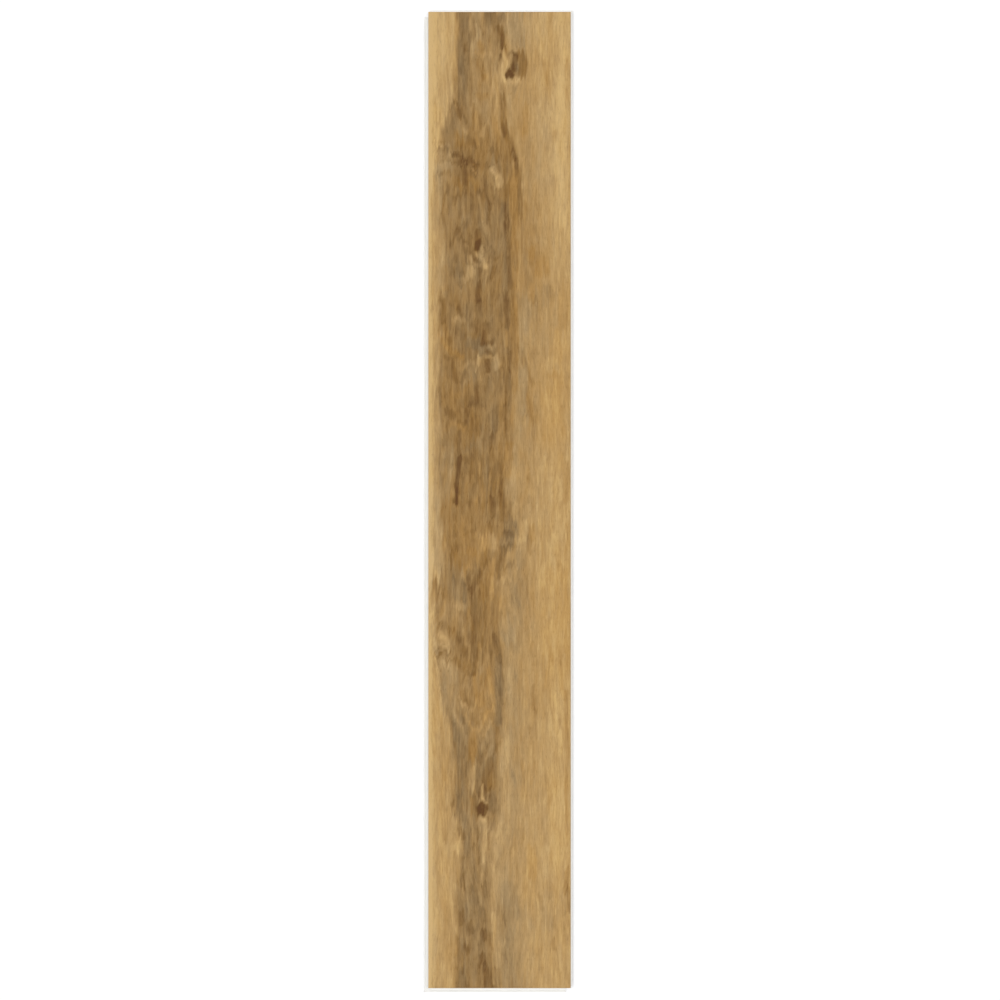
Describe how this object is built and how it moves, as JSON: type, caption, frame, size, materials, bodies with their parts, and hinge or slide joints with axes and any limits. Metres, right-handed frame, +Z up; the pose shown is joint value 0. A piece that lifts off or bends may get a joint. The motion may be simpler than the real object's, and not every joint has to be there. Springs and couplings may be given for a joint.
{
  "type": "rigid core vinyl plank",
  "caption": "Flat rigid core vinyl floor plank with a knotty wood-grain face and a milled click-lock joint, tongue and groove with a locking lip, round its four sides.",
  "frame": {"origin": "on the underside, below the middle of the face, so that neighbours repeat at the face's width and length", "axes": "+Z up out of the wear face; +Y along the plank, towards the tongue end; +X across it, towards the tongue side"},
  "size_m": [0.1855, 1.227, 0.005],
  "materials": {
    "plank": "matte"
  },
  "bodies": {
    "root": {"plank": "plank"}
  },
  "joints": []
}
